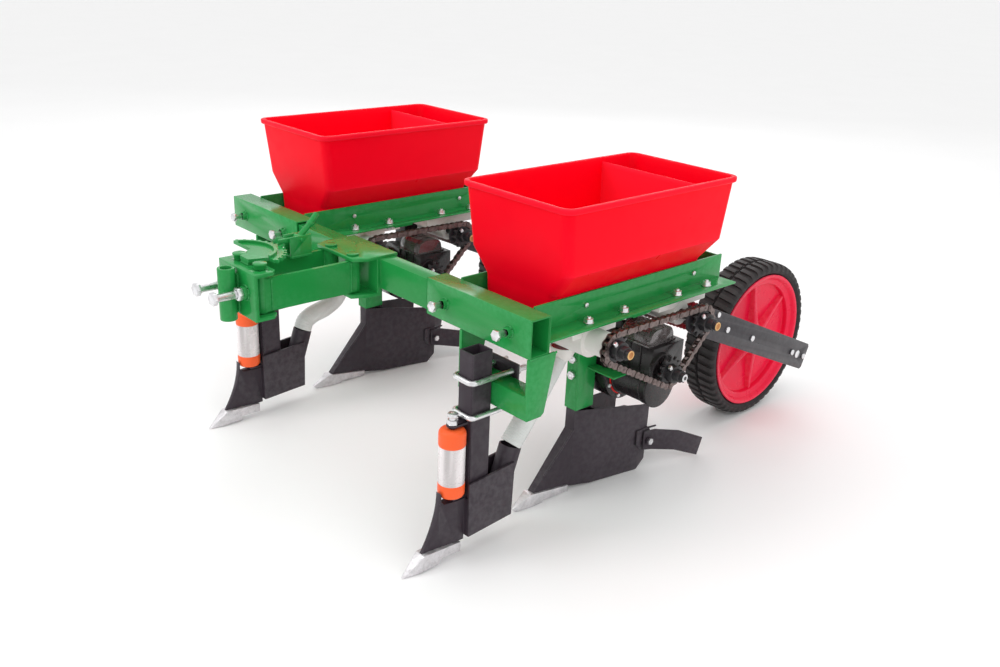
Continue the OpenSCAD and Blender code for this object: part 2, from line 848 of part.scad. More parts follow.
module fork_arm() {
  along_x(arm_out - arm_t, arm_out) {
    circle(r = arm_half);
    polygon([[0, -arm_half], [arm_end - 6, -arm_half], [arm_end, -arm_half + 6],
             [arm_end, arm_half - 6], [arm_end - 6, arm_half], [0, arm_half]]);
  }
  for (t = [-arm_half, arm_half - 4])
    block([132, 20, t], [arm_out - arm_t, arm_end - 6, t + 4]);
}

module wheel_chain() color([0.25, 0.21, 0.19])
  chain_loop([wheel_at, rear_shaft], wheel_plane);

// Axle with its nuts, and the bolts that show on the outside of the fork arms
module axle() color([0.74, 0.75, 0.77]) on_fork() {
  rod_x(-arm_out, arm_out, [fork_len, 0], axle_r);
  both_sides() {
    translate([arm_out - arm_t - 11, fork_len, 0]) rotate([0, 90, 0]) difference() {
      hex(11, 30);
      translate([0, 0, -1]) cylinder(h = 13, r = axle_r);
    }
    for (s = [tie_at[0], tie_at[1], fork_len - 34, fork_len + 27])
      rod_x(arm_out, arm_out + 4.5, [s, 0], 7);
    rod_x(arm_out, arm_out + 4.5, [71, 24], 6);
  }
}

module tyre() color([0.13, 0.13, 0.14])
  translate([0, wheel_at[0], wheel_at[1]]) rotate([0, 90, 0])
    rotate_extrude()
      polygon([[168.3, -34], [178, -tyre_half], [tyre_r - 8, -tyre_half],
               [tyre_r, -tyre_half + 8], [tyre_r, tyre_half - 8],
               [tyre_r - 8, tyre_half], [178, tyre_half], [168.3, 34]], $fn = 96);

module rim() color([0.86, 0.20, 0.30])
  difference() {
    union() {
      translate([0, wheel_at[0], wheel_at[1]]) {
        rotate([0, 90, 0]) rotate_extrude()
          polygon([[160, -34], [168.2, -34], [168.2, 40], [154, 40], [150, 34],
                   [160, 28]], $fn = 96);
        rotate([0, 90, 0]) translate([0, 0, 8]) cylinder(h = 6, r = 161);
        for (k = [0 : 60 : 300])
          rotate([k + 7, 0, 0]) both_faces_rib();
        along_x(-108, 62) circle(r = 22.8);
      }
      sprocket(wheel_plane, wheel_at);
    }
    rod_x(-110, 70, wheel_at, axle_r + fit);
  }

// Tapered spoke rib on the wheel's web
module both_faces_rib() {
  along_x(-8, 9) polygon([[-10, 14], [10, 14], [5, 163], [-5, 163]]);
  along_x(13, 26) polygon([[-10, 14], [10, 14], [5, 156], [-5, 156]]);
}

// ---------- nodes ----------

module left_sleeve() at_row(-1) sleeve();
module left_rails() at_row(-1) rails();
module left_fasteners() at_row(-1) fasteners();
module left_hopper() at_row(-1) hopper();
module left_feed_boxes() at_row(-1) feed_boxes();
module left_seed_meter() at_row(-1) seed_meter();
module left_meter_window() at_row(-1) meter_window();
module left_shank_bracket() at_row(-1) shank_bracket();
module left_seed_opener() at_row(-1) seed_opener();
module left_seed_share() at_row(-1) seed_share();
module left_feed_chain() at_row(-1) feed_chain();
module left_hose() at_row(-1) hose();
module left_fertilizer_opener() at_row(-1) fertilizer_opener();
module left_fertilizer_share() at_row(-1) fertilizer_share();
module left_roller() at_row(-1) roller();
module left_fork() at_row(-1) fork();
module left_wheel_chain() at_row(-1) wheel_chain();
module left_axle() at_row(-1) axle();
module left_tyre() at_row(-1) tyre();
module left_rim() at_row(-1) rim();
module left_drive_shaft() at_row(-1) drive_shaft();
module left_fertilizer_shaft() at_row(-1) fertilizer_shaft();
module left_seed_shaft() at_row(-1) seed_shaft();
module left_coverer() at_row(-1) coverer();

module right_sleeve() at_row(1) sleeve();
module right_rails() at_row(1) rails();
module right_fasteners() at_row(1) fasteners();
module right_hopper() at_row(1) hopper();
module right_feed_boxes() at_row(1) feed_boxes();
module right_seed_meter() at_row(1) seed_meter();
module right_meter_window() at_row(1) meter_window();
module right_shank_bracket() at_row(1) shank_bracket();
module right_seed_opener() at_row(1) seed_opener();
module right_seed_share() at_row(1) seed_share();
module right_feed_chain() at_row(1) feed_chain();
module right_hose() at_row(1) hose();
module right_fertilizer_opener() at_row(1) fertilizer_opener();
module right_fertilizer_share() at_row(1) fertilizer_share();
module right_roller() at_row(1) roller();
module right_fork() at_row(1) fork();
module right_wheel_chain() at_row(1) wheel_chain();
module right_axle() at_row(1) axle();
module right_tyre() at_row(1) tyre();
module right_rim() at_row(1) rim();
module right_drive_shaft() at_row(1) drive_shaft();
module right_fertilizer_shaft() at_row(1) fertilizer_shaft();
module right_seed_shaft() at_row(1) seed_shaft();
module right_coverer() at_row(1) coverer();

toolbar();
rear_pins();
link_near();
link_far();
pawl_box();
pawl_lever();
drawbar_head();
steering_sector();
front_pins();
stay_bolt_near();
stay_bolt_far();
stay_lock_nuts();
left_sleeve();
left_rails();
left_fasteners();
left_hopper();
left_feed_boxes();
left_seed_meter();
left_meter_window();
left_shank_bracket();
left_seed_opener();
left_seed_share();
left_feed_chain();
left_hose();
left_fertilizer_opener();
left_fertilizer_share();
left_roller();
left_fork();
left_wheel_chain();
left_axle();
left_tyre();
left_rim();
left_drive_shaft();
left_fertilizer_shaft();
left_seed_shaft();
left_coverer();
right_sleeve();
right_rails();
right_fasteners();
right_hopper();
right_feed_boxes();
right_seed_meter();
right_meter_window();
right_shank_bracket();
right_seed_opener();
right_seed_share();
right_feed_chain();
right_hose();
right_fertilizer_opener();
right_fertilizer_share();
right_roller();
right_fork();
right_wheel_chain();
right_axle();
right_tyre();
right_rim();
right_drive_shaft();
right_fertilizer_shaft();
right_seed_shaft();
right_coverer();
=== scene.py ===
import bmesh
import bpy
import json
import math
import random
from mathutils import Matrix, Vector


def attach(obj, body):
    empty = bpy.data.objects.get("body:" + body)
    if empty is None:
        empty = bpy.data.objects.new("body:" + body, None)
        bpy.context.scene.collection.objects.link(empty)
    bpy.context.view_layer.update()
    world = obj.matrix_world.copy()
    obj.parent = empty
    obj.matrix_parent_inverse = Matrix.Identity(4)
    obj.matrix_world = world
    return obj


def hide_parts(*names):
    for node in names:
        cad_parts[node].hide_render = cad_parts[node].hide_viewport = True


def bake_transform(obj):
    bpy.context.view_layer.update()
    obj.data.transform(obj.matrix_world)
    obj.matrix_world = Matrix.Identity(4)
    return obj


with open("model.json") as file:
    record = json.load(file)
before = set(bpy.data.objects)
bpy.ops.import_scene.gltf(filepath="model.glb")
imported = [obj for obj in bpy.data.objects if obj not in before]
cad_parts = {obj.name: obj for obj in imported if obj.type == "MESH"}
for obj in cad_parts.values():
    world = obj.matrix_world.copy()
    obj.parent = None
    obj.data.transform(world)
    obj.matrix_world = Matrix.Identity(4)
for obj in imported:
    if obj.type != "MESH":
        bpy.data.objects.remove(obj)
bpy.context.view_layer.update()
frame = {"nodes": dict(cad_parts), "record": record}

random.seed(7)
TAU = 2 * math.pi
MM = 0.001
ROWS = {"left": -387.5, "right": 387.5}  # middle of each row unit
HITCH_Y, HITCH_Z = 535.0, 487.0  # from the drawing's origin to the hitch bore
OPENER_X = 33  # middle plane of the shank, the roller and the hose, in each row
DIVIDER_Y = 243  # wall between the two halves of the hopper
# (y, z) of the axes across each row
FERTILIZER_SHAFT, DRIVE_SHAFT, SEED_SHAFT, WHEEL = (-27, 430), (248, 424), (154, 333), (689, 231)
METER = (164, 287)
CHAIN_PITCH, SPROCKET_R = 15.875, 30.67


def at(x, y, z):
    """Working-frame millimetres (Z up from the opener tips) to metres from the hitch bore."""
    return Vector((x, y + HITCH_Y, z - HITCH_Z)) * MM


# ---------------------------------------------------------------- camera
def set_camera():
    az, el, roll = math.radians(46.5), math.radians(21.8), math.radians(2.6)
    fwd = Vector((-math.sin(az) * math.cos(el), math.cos(az) * math.cos(el), -math.sin(el)))
    right = Vector((math.cos(az), math.sin(az), 0))
    up = right.cross(fwd)
    r2 = right * math.cos(roll) + up * math.sin(roll)
    u2 = up * math.cos(roll) - right * math.sin(roll)
    cam = bpy.data.objects.new("camera", bpy.data.cameras.new("camera"))
    bpy.context.collection.objects.link(cam)
    rot = Matrix((r2, u2, -fwd)).transposed().to_4x4()
    cam.matrix_world = Matrix.Translation(at(1652.5, -1357.2, 1136.0)) @ rot
    cam.data.sensor_width = 36
    cam.data.lens = 34.97
    cam.data.shift_x = -0.0055
    cam.data.clip_start = 0.05
    cam.data.clip_end = 60
    bpy.context.scene.camera = cam


set_camera()


# ---------------------------------------------------------------- materials
class Nodes:
    """A material's node tree, with short calls for the nodes used here."""

    def __init__(self, name):
        self.mat = bpy.data.materials.new(name)
        self.mat.use_nodes = True
        self.t = self.mat.node_tree
        self.b = next(n for n in self.t.nodes if n.type == "BSDF_PRINCIPLED")
        self.co = self.t.nodes.new("ShaderNodeTexCoord").outputs["Object"]

    def set(self, **values):
        for k, v in values.items():
            self.b.inputs[k.replace("_", " ")].default_value = v

    def noise(self, scale, detail=3, rough=0.55, stretch=None):
        n = self.t.nodes.new("ShaderNodeTexNoise")
        n.inputs["Scale"].default_value = scale
        n.inputs["Detail"].default_value = detail
        n.inputs["Roughness"].default_value = rough
        co = self.co
        if stretch:
            m = self.t.nodes.new("ShaderNodeMapping")
            m.inputs["Scale"].default_value = stretch
            self.t.links.new(co, m.inputs["Vector"])
            co = m.outputs["Vector"]
        self.t.links.new(co, n.inputs["Vector"])
        return n.outputs["Fac"]

    def ramp(self, src, stops):
        n = self.t.nodes.new("ShaderNodeValToRGB")
        e = n.color_ramp.elements
        while len(e) < len(stops):
            e.new(0.5)
        for i, (p, c) in enumerate(stops):
            e[i].position = p
            e[i].color = (c, c, c, 1) if isinstance(c, (int, float)) else (*c, 1)
        self.t.links.new(src, n.inputs["Fac"])
        return n.outputs["Color"]

    def mix(self, fac, a, b, mode="MIX"):
        n = self.t.nodes.new("ShaderNodeMix")
        n.data_type = "RGBA"
        n.blend_type = mode
        for sock, v in ((n.inputs["Factor"], fac), (n.inputs[6], a), (n.inputs[7], b)):
            if isinstance(v, bpy.types.NodeSocket):
                self.t.links.new(v, sock)
            elif isinstance(v, (int, float)):
                sock.default_value = v
            else:
                sock.default_value = (*v, 1)
        return n.outputs[2]

    def drift(self, scale, detail, a, b):
        """Slow blotches that run from colour a to colour b."""
        return self.mix(self.ramp(self.noise(scale, detail), [(0.3, 0.0), (0.7, 1.0)]), a, b)

    def bump(self, src, strength, distance, after=None):
        n = self.t.nodes.new("ShaderNodeBump")
        n.inputs["Strength"].default_value = strength
        n.inputs["Distance"].default_value = distance
        self.t.links.new(src, n.inputs["Height"])
        if after:
            self.t.links.new(after, n.inputs["Normal"])
        return n.outputs["Normal"]

    def edges(self, low, high):
        g = self.t.nodes.new("ShaderNodeNewGeometry")
        return self.ramp(g.outputs["Pointiness"], [(low, 0.0), (high, 1.0)])

    def to(self, src, socket):
        self.t.links.new(src, self.b.inputs[socket])


def shade(c, k):
    return tuple(min(1.0, max(0.0, v * k)) for v in c)


def paint(name, colour, rough, wear_and_highlight_colour, vary=0.08, peel=0.10, wear_and_highlight_strength=0.5, spec=0.2):
    """Enamel: slow colour drift, fine mottle, orange-peel bump, scuffs, and edges made lighter, partly rubbed
    wear and partly a painted highlight.
    """
    m = Nodes(name)
    base = m.drift(5, 3, shade(colour, 1 - vary), shade(colour, 1 + vary))
    mottle = m.ramp(m.noise(240, 5, 0.6), [(0.35, 0.0), (0.65, 0.35)])
    base = m.mix(mottle, base, shade(colour, 1 - vary * 1.3))
    scuffs = m.ramp(m.noise(16, 9, 0.8, (1, 5, 5)), [(0.66, 0.0), (0.78, 0.35 * wear_and_highlight_strength)])
    base = m.mix(scuffs, base, wear_and_highlight_colour)
    # convex edges take the worn colour too: partly rubbed wear, partly a painted highlight where edges catch
    # the light
    rim = m.mix(1.0, m.edges(0.51, 0.58), m.ramp(m.noise(90, 4), [(0.35, 0.1), (0.62, wear_and_highlight_strength)]), "MULTIPLY")
    base = m.mix(rim, base, wear_and_highlight_colour)
    m.to(base, "Base Color")
    m.to(m.ramp(m.noise(35, 5, 0.65), [(0.3, rough * 0.8), (0.7, rough * 1.3)]), "Roughness")
    m.set(Specular_IOR_Level=spec)
    fine = m.bump(m.noise(620, 2), peel, 0.0004)
    m.to(m.bump(m.noise(45, 3), peel * 0.8, 0.002, fine), "Normal")
    return m.mat


def metal(name, colour, rough, dirt=(0.2, 0.17, 0.14), grime=0.3, bump=0.15, scale=300):
    m = Nodes(name)
    base = m.mix(m.ramp(m.noise(40, 5), [(0.35, 0.0), (0.7, 1.0)]), shade(colour, 0.82), colour)
    base = m.mix(m.ramp(m.noise(110, 8, 0.75), [(0.45, 0.0), (0.75, grime)]), base, dirt)
    m.to(base, "Base Color")
    m.set(Metallic=1.0)
    m.to(m.ramp(m.noise(90, 5), [(0.3, rough * 0.7), (0.75, rough * 1.5)]), "Roughness")
    m.to(m.bump(m.noise(scale, 5, 0.6), bump, 0.0008), "Normal")
    return m.mat


def plastic(name, colour, rough, vary=0.06, bump=0.08, scale=180, edge_highlight=None, spec=0.3):
    m = Nodes(name)
    base = m.drift(6, 3, shade(colour, 1 - vary), shade(colour, 1 + vary))
    if edge_highlight:
        # convex edges blended towards a lighter colour: a painted highlight
        base = m.mix(m.mix(0.5, (0, 0, 0), m.edges(0.51, 0.58)), base, edge_highlight)
    base = m.mix(m.ramp(m.noise(260, 6, 0.7), [(0.62, 0.0), (0.85, 0.18)]), base, shade(colour, 0.7))
    m.to(base, "Base Color")
    m.to(m.ramp(m.noise(28, 6, 0.6), [(0.3, rough * 0.8), (0.75, rough * 1.4)]), "Roughness")
    m.set(Specular_IOR_Level=spec)
    m.to(m.bump(m.noise(scale, 3), bump, 0.0006), "Normal")
    return m.mat


# each paint's fourth colour serves both its scuffs and the painted highlight on its edges; the green's is a
# light green highlight
GREEN = paint("green_enamel", (0.013, 0.262, 0.052), 0.20, (0.07, 0.42, 0.15), wear_and_highlight_strength=0.35, spec=0.27)
BLACK = paint("black_enamel", (0.034, 0.024, 0.033), 0.40, (0.11, 0.10, 0.11), vary=0.10, spec=0.28)
GREY = paint("grey_enamel", (0.030, 0.027, 0.032), 0.34, (0.13, 0.12, 0.13), vary=0.10, spec=0.3)
RIM_RED = paint("rim_enamel", (0.88, 0.008, 0.055), 0.30, (0.92, 0.16, 0.22), wear_and_highlight_strength=0.3, spec=0.2)
ZINC = metal("zinc_plate", (0.86, 0.86, 0.88), 0.32, grime=0.35, dirt=(0.34, 0.31, 0.29), bump=0.3)
CAST = metal("silver_casting", (0.84, 0.82, 0.84), 0.50, grime=0.5, dirt=(0.36, 0.34, 0.35), bump=0.9,
             scale=340)
CHAIN = metal("oiled_chain_steel", (0.24, 0.19, 0.18), 0.34, grime=0.8, dirt=(0.022, 0.014, 0.012), bump=0.25)
SHAFT = paint("shaft_black_oxide", (0.012, 0.011, 0.013), 0.30, (0.13, 0.12, 0.12), peel=0.08, spec=0.35)
RUST = metal("rusty_tube_end", (0.62, 0.30, 0.12), 0.55, grime=0.5, dirt=(0.30, 0.09, 0.03), bump=0.5)
BRASS = metal("gold_passivated_ring", (0.80, 0.52, 0.22), 0.35, grime=0.3, dirt=(0.3, 0.12, 0.05))
# the red's lighter, pinker edge colour paints a highlight on the hopper's rims and lip
RED = plastic("red_moulded_plastic", (0.97, 0.0, 0.014), 0.34, vary=0.025, bump=0.04, spec=0.06,
              edge_highlight=(0.95, 0.03, 0.07))
RED2 = plastic("red_gasket", (0.62, 0.010, 0.012), 0.45)
WHITE = plastic("white_moulded_plastic", (0.80, 0.77, 0.74), 0.42, vary=0.05)
BLACKP = plastic("black_moulded_plastic", (0.013, 0.010, 0.011), 0.26, vary=0.2, spec=0.4)
ORANGE = plastic("orange_plastic", (0.95, 0.125, 0.030), 0.34, vary=0.05, spec=0.25)


def smoky():
    m = Nodes("smoky_clear_plastic")
    base = m.drift(30, 4, (0.30, 0.26, 0.26), (0.55, 0.50, 0.50))
    m.to(base, "Base Color")
    m.to(m.ramp(m.noise(60, 5), [(0.3, 0.03), (0.8, 0.10)]), "Roughness")
    m.set(Transmission_Weight=0.8, IOR=1.47, Coat_Weight=0.5, Coat_Roughness=0.04)
    m.to(m.bump(m.noise(30, 3), 0.05, 0.0006), "Normal")
    return m.mat


def hose_mat():
    m = Nodes("ribbed_hose_plastic")
    base = m.drift(14, 4, (0.60, 0.62, 0.605), (0.74, 0.755, 0.74))
    m.to(base, "Base Color")
    m.to(m.ramp(m.noise(40, 5), [(0.3, 0.32), (0.8, 0.50)]), "Roughness")
    m.to(m.bump(m.noise(260, 3), 0.08, 0.0005), "Normal")
    return m.mat


def tube_mat():
    m = Nodes("roller_white_tube")
    band = m.noise(5, 2, 0.5, (9, 9, 0.6))
    base = m.mix(m.ramp(band, [(0.35, 0.0), (0.62, 1.0)]), (0.52, 0.49, 0.49), (0.88, 0.83, 0.84))
    m.to(base, "Base Color")
    m.set(Metallic=0.2, Specular_IOR_Level=0.3)
    m.to(m.ramp(m.noise(50, 5), [(0.3, 0.2), (0.8, 0.4)]), "Roughness")
    m.to(m.bump(m.noise(160, 3), 0.1, 0.0006), "Normal")
    return m.mat


def rubber():
    m = Nodes("tyre_rubber")
    base = m.drift(16, 5, (0.011, 0.008, 0.009), (0.020, 0.016, 0.017))
    # convex tread edges made lighter grey: a painted highlight
    base = m.mix(m.mix(0.55, (0, 0, 0), m.edges(0.51, 0.60)), base, (0.06, 0.055, 0.055))
    base = m.mix(m.ramp(m.noise(60, 9, 0.8), [(0.55, 0.0), (0.85, 0.4)]), base, (0.05, 0.045, 0.043))
    m.set(Specular_IOR_Level=0.25)
    m.to(base, "Base Color")
    m.to(m.ramp(m.noise(70, 5), [(0.3, 0.45), (0.8, 0.72)]), "Roughness")
    m.to(m.bump(m.noise(420, 4), 0.25, 0.0006), "Normal")
    return m.mat


SMOKY, HOSE, TUBE, RUBBER = smoky(), hose_mat(), tube_mat(), rubber()


# ---------------------------------------------------------------- mesh helpers
class Shape:
    """Collects faces in working-frame millimetres, then becomes one mesh."""

    def __init__(self):
        self.v, self.f, self.m = [], [], []

    def add(self, verts, faces, mat=0):
        k = len(self.v)
        self.v += [tuple(p) for p in verts]
        self.f += [[i + k for i in face] for face in faces]
        self.m += [mat] * len(faces)

    def rings(self, rings, closed=False, caps=False, mat=0):
        """Skin over rings of equal length."""
        n = len(rings[0])
        verts = [p for r in rings for p in r]
        faces = []
        for i in range(len(rings) if closed else len(rings) - 1):
            j = (i + 1) % len(rings)
            for k in range(n):
                q = (k + 1) % n
                faces.append([i * n + k, i * n + q, j * n + q, j * n + k])
        if caps:
            faces.append(list(range(n))[::-1])
            faces.append([(len(rings) - 1) * n + k for k in range(n)])
        self.add(verts, faces, mat)

    def lathe(self, origin, axis, profile, n=32, mat=0, caps=False, closed=False):
        """Turns a profile of (distance along the axis, radius) round the axis."""
        o, a = Vector(origin), Vector(axis).normalized()
        u = a.orthogonal().normalized()
        w = a.cross(u)
        rings = []
        for s, r in profile:
            rings.append([o + a * s + (u * math.cos(TAU * k / n) + w * math.sin(TAU * k / n)) * r
                          for k in range(n)])
        self.rings(rings, caps=caps, closed=closed, mat=mat)

    def prism(self, outline, low, high, place, mat=0):
        """Extrudes a 2-D outline between two levels; place maps (a, b, level) to a point."""
        n = len(outline)
        verts = [place(a, b, low) for a, b in outline] + [place(a, b, high) for a, b in outline]
        faces = [list(range(n))[::-1], [n + k for k in range(n)]]
        faces += [[k, (k + 1) % n, n + (k + 1) % n, n + k] for k in range(n)]
        self.add(verts, faces, mat)

    def piece(self, name, mats, body, slot, nodes=(), x=0.0, smooth=38, bevel=0.0):
        me = bpy.data.meshes.new(name)
        me.from_pydata([at(*p) for p in self.v], [], self.f)
        for i, p in enumerate(me.polygons):
            p.material_index = self.m[i]
        bm = bmesh.new()
        bm.from_mesh(me)
        bmesh.ops.recalc_face_normals(bm, faces=bm.faces)
        bm.to_mesh(me)
        bm.free()
        return place_mesh(name, me, mats, body, nodes, x, smooth, bevel)


def place_mesh(name, me, mats, body, nodes, x=0.0, smooth=38, bevel=0.0):
    for mat in mats if isinstance(mats, (list, tuple)) else [mats]:
        me.materials.append(mat)
    ob = bpy.data.objects.new(name, me)
    bpy.context.collection.objects.link(ob)
    if bevel:
        mod = ob.modifiers.new("bevel", "BEVEL")
        mod.width = bevel * MM
        mod.segments = 2
        mod.limit_method = "ANGLE"
        mod.angle_limit = math.radians(32)
        mod.use_clamp_overlap = False
        mod.harden_normals = False
        bpy.context.view_layer.update()
        dg = bpy.context.evaluated_depsgraph_get()
        baked = bpy.data.meshes.new_from_object(ob.evaluated_get(dg))
        ob.modifiers.clear()
        ob.data = baked
        me = baked
    smooth_by_angle(me, smooth)
    ob.location = (x * MM, 0, 0)
    if isinstance(body, tuple):
        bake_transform(ob)
    else:
        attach(ob, body)
    if nodes:
        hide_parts(*nodes)
    return ob


def smooth_by_angle(me, angle):
    bm = bmesh.new()
    bm.from_mesh(me)
    lim = math.radians(angle)
    for f in bm.faces:
        f.smooth = True
    for e in bm.edges:
        e.smooth = len(e.link_faces) == 2 and e.calc_face_angle(0) < lim
    bm.to_mesh(me)
    bm.free()


def clean_copy(node, whole=True):
    """A plain copy of the node's mesh: seams joined, flat faces whole, shading data dropped."""
    src = frame["nodes"][node].data
    me = bpy.data.meshes.new(node + "_shown")
    me.from_pydata([v.co[:] for v in src.vertices], [], [p.vertices[:] for p in src.polygons])
    bm = bmesh.new()
    bm.from_mesh(me)
    bmesh.ops.remove_doubles(bm, verts=bm.verts, dist=4e-6)
    bmesh.ops.recalc_face_normals(bm, faces=bm.faces)
    if whole:
        bmesh.ops.dissolve_limit(bm, angle_limit=math.radians(0.6), verts=bm.verts, edges=bm.edges)
    bm.to_mesh(me)
    bm.free()
    return me


def body_name(node):
    for b, nodes in frame["record"]["behaviour"]["bodies"].items():
        if node in nodes:
            return b
    raise KeyError(node)


def dress(node, mats, bevel=1.0, smooth=38, pick=None):
    """Stands a bevelled copy in for a CAD node; pick chooses a material from a face's centre."""
    me = clean_copy(node, node != "steering_sector")
    if pick:
        x0 = next((v for k, v in ROWS.items() if node.startswith(k)), 0.0)
        for p in me.polygons:
            c = p.center * 1000
            p.material_index = pick(c.x - x0, c.y - HITCH_Y, c.z + HITCH_Z)
    return place_mesh(node + "_shown", me, mats, body_name(node), [node],
                      smooth=smooth, bevel=bevel)


# ---------------------------------------------------------------- toolbar and drawbar
for node, width in (("toolbar", 1.6), ("rear_pins", 1.2), ("link_near", 1.5), ("link_far", 1.5),
                    ("pawl_box", 0.9), ("pawl_lever", 0.9), ("drawbar_head", 1.6),
                    ("steering_sector", 0), ("front_pins", 1.4)):
    dress(node, GREEN, width)
for node in ("stay_bolt_near", "stay_bolt_far", "stay_lock_nuts"):
    dress(node, ZINC, 1.2)


def weld(name, path, body, x=0.0, r=2.2, mat=None, slot="green_paint"):
    """A hand-laid weld bead: overlapping humps along a path."""
    s = Shape()
    pts = [Vector(p) for p in path]
    out = []
    for i in range(len(pts) - 1):
        n = max(1, int((pts[i + 1] - pts[i]).length / 2.2))
        out += [pts[i].lerp(pts[i + 1], k / n) for k in range(n)]
    out.append(pts[-1])
    rings = []
    for i, p in enumerate(out):
        d = (out[min(i + 1, len(out) - 1)] - out[max(i - 1, 0)]).normalized()
        u = d.orthogonal().normalized()
        w = d.cross(u)
        rr = r * (0.82 + 0.28 * abs(math.sin(i * 1.35)) + random.uniform(-0.06, 0.06))
        c = p + Vector((random.uniform(-.25, .25), random.uniform(-.25, .25), random.uniform(-.25, .25)))
        rings.append([c + (u * math.cos(TAU * k / 8) + w * math.sin(TAU * k / 8)) * rr for k in range(8)])
    s.rings(rings, caps=True)
    return s.piece(name, mat or GREEN, body, slot, x=x, smooth=60)


for side, body in ((1, "link_near"), (-1, "link_far")):
    for y, sgn in ((-272, -1), (-484, 1)):
        for off in (4.5, 15.5):
            weld(f"{body}_weld_{-y}_{int(off)}", [(side * (40 + off), y + sgn * 14.2, 456),
                                                  (side * (40 + off), y + sgn * 14.2, 518)],
                 body, r=1.8)
weld("hitch_weld_near", [(9, -515.5, 450), (9, -515.5, 524)], "drawbar_head", r=2.2)
weld("hitch_weld_far", [(-9, -515.5, 450), (-9, -515.5, 524)], "drawbar_head", r=2.2)
weld("bracket_weld_top", [(-76, -229.5, 523), (76, -229.5, 523)], "toolbar", r=2.0)
weld("sector_weld", [(-21, -491, 539), (9, -491, 539)], "drawbar_head", r=1.8)
for x in (-34, 34):
    weld(f"stay_nut_weld_{'near' if x > 0 else 'far'}",
         [(x + 15 * math.cos(TAU * k / 12), -514.6, 495 + 15 * math.sin(TAU * k / 12)) for k in range(13)],
         "drawbar_head", r=1.9)


# ---------------------------------------------------------------- row pieces
def hopper_ring(half, front, back, z, radius, n=8):
    pts = []
    for cx, cy, a0 in ((half - radius, back - radius, 0), (-half + radius, back - radius, 90),
                       (-half + radius, front + radius, 180), (half - radius, front + radius, 270)):
        for k in range(n + 1):
            a = math.radians(a0 + 90 * k / n)
            pts.append((cx + radius * math.cos(a), cy + radius * math.sin(a), z))
    return pts


LEVELS = [(474, 96, -130, 316), (532, 98, -132, 318), (582, 136, -138, 334), (714, 142, -153, 349)]


def hopper_size(z):
    for (z0, *a), (z1, *b) in zip(LEVELS, LEVELS[1:]):
        if z <= z1:
            t = (z - z0) / (z1 - z0)
            return [p + (q - p) * t for p, q in zip(a, b)]
    return LEVELS[-1][1:]


def hopper_mesh():
    s = Shape()
    rings = []

    def ring(z, out):
        half, front, back = hopper_size(z)
        rings.append(hopper_ring(half + out, front - out, back + out, z, 20 + out))

    for z in (474.2, 476, 500, 528, 532, 536, 550, 566, 578, 582, 586, 600, 630, 660, 694, 701):
        ring(z, 0)
    lip = [(1.2, 703.5), (3.2, 703.0), (5.0, 702.8), (6.0, 704), (6.0, 707), (5.9, 710.5), (5.0, 712.8),
           (3.0, 713.8), (0.0, 714), (-2.2, 713.6), (-3.4, 712), (-4.0, 709)]
    for out, z in lip:
        half, front, back = hopper_size(min(z, 714))
        rings.append(hopper_ring(half + out, front - out, back + out, z, 20 + out * 0.6))
    for z in (694, 660, 630, 600, 586, 582, 578, 560, 545, 534, 528, 500, 482, 478.5):
        ring(z, -4)
    s.rings(rings)
    n = len(rings[0])
    s.add(rings[0], [list(range(n))[::-1]])
    s.add(rings[-1], [list(range(n))])
    # divider: thin moulded wall across the bin, thinning towards its top
    prof = []
    for z in (478, 532, 560, 582, 620, 660, 694, 702, 704.5):
        half, _, _ = hopper_size(z)
        prof.append((half - 3.2, z))
    verts, t = [], [2.4, 2.3, 2.2, 2.1, 2.0, 1.9, 1.8, 1.6, 0.5]
    for (h, z), th in zip(prof, t):
        near, far = DIVIDER_Y - th, DIVIDER_Y + th
        verts.append([(-h, near, z), (h, near, z), (h, far, z), (-h, far, z)])
    s.rings(verts, caps=True)
    return s


def chain_path(points, radius):
    """Evenly spaced pivots round a clockwise loop of sprockets, with the tangent at each."""
    segs = []
    n = len(points)
    for i in range(n):
        a, b = Vector(points[i]), Vector(points[(i + 1) % n])
        d = (b - a).normalized()
        side = Vector((-d.y, d.x)) * radius
        segs.append((a + side, b + side))
    path = []
    for i in range(n):
        p, q = segs[i]
        m = max(1, int((q - p).length / 0.5))
        path += [p.lerp(q, k / m) for k in range(m)]
        c = Vector(points[(i + 1) % n])
        u = q - c
        w = segs[(i + 1) % n][0] - c
        a0 = math.atan2(u.y, u.x)
        a1 = math.atan2(w.y, w.x)
        while a1 > a0:
            a1 -= TAU
        m = max(1, int(abs(a1 - a0) * radius / 0.5))
        turn = [a0 + (a1 - a0) * k / m for k in range(m)]
        path += [c + Vector((math.cos(a), math.sin(a))) * radius for a in turn]
    lens = [0.0]
    for a, b in zip(path, path[1:] + path[:1]):
        lens.append(lens[-1] + (b - a).length)
    total = lens[-1]
    count = int(round(total / CHAIN_PITCH / 2)) * 2
    out, j = [], 0
    for k in range(count):
        want = total * k / count
        while lens[j + 1] < want:
            j += 1
        t = (want - lens[j]) / max(1e-9, lens[j + 1] - lens[j])
        out.append(path[j].lerp(path[(j + 1) % len(path)], t))
    return out


